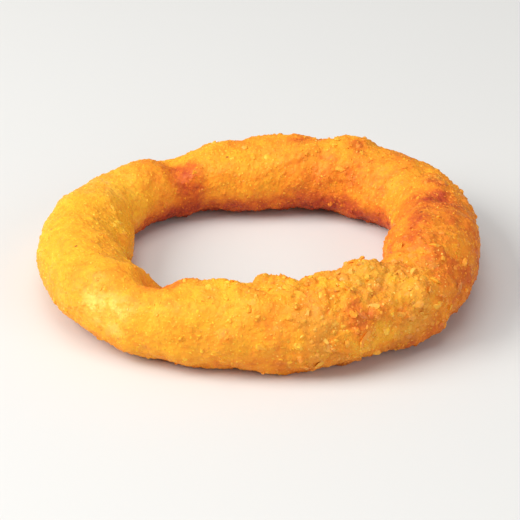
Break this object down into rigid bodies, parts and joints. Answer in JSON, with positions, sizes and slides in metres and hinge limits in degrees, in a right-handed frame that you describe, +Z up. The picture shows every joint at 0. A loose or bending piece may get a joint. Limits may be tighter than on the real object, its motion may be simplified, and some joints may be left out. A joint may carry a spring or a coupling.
{
  "type": "onion ring",
  "caption": "Oval breaded onion ring, fried golden, its crust craggy with crumbs, lying flat round an open middle.",
  "frame": {"origin": "middle of the ring's underside, on the surface that it lies on", "axes": "+X along the long side of the oval, +Y across it towards the thinner back, +Z up through the hole"},
  "size_m": [0.0808, 0.0714, 0.016],
  "materials": {
    "crust": null
  },
  "bodies": {
    "root": {"onion_ring": "crust"}
  },
  "joints": []
}
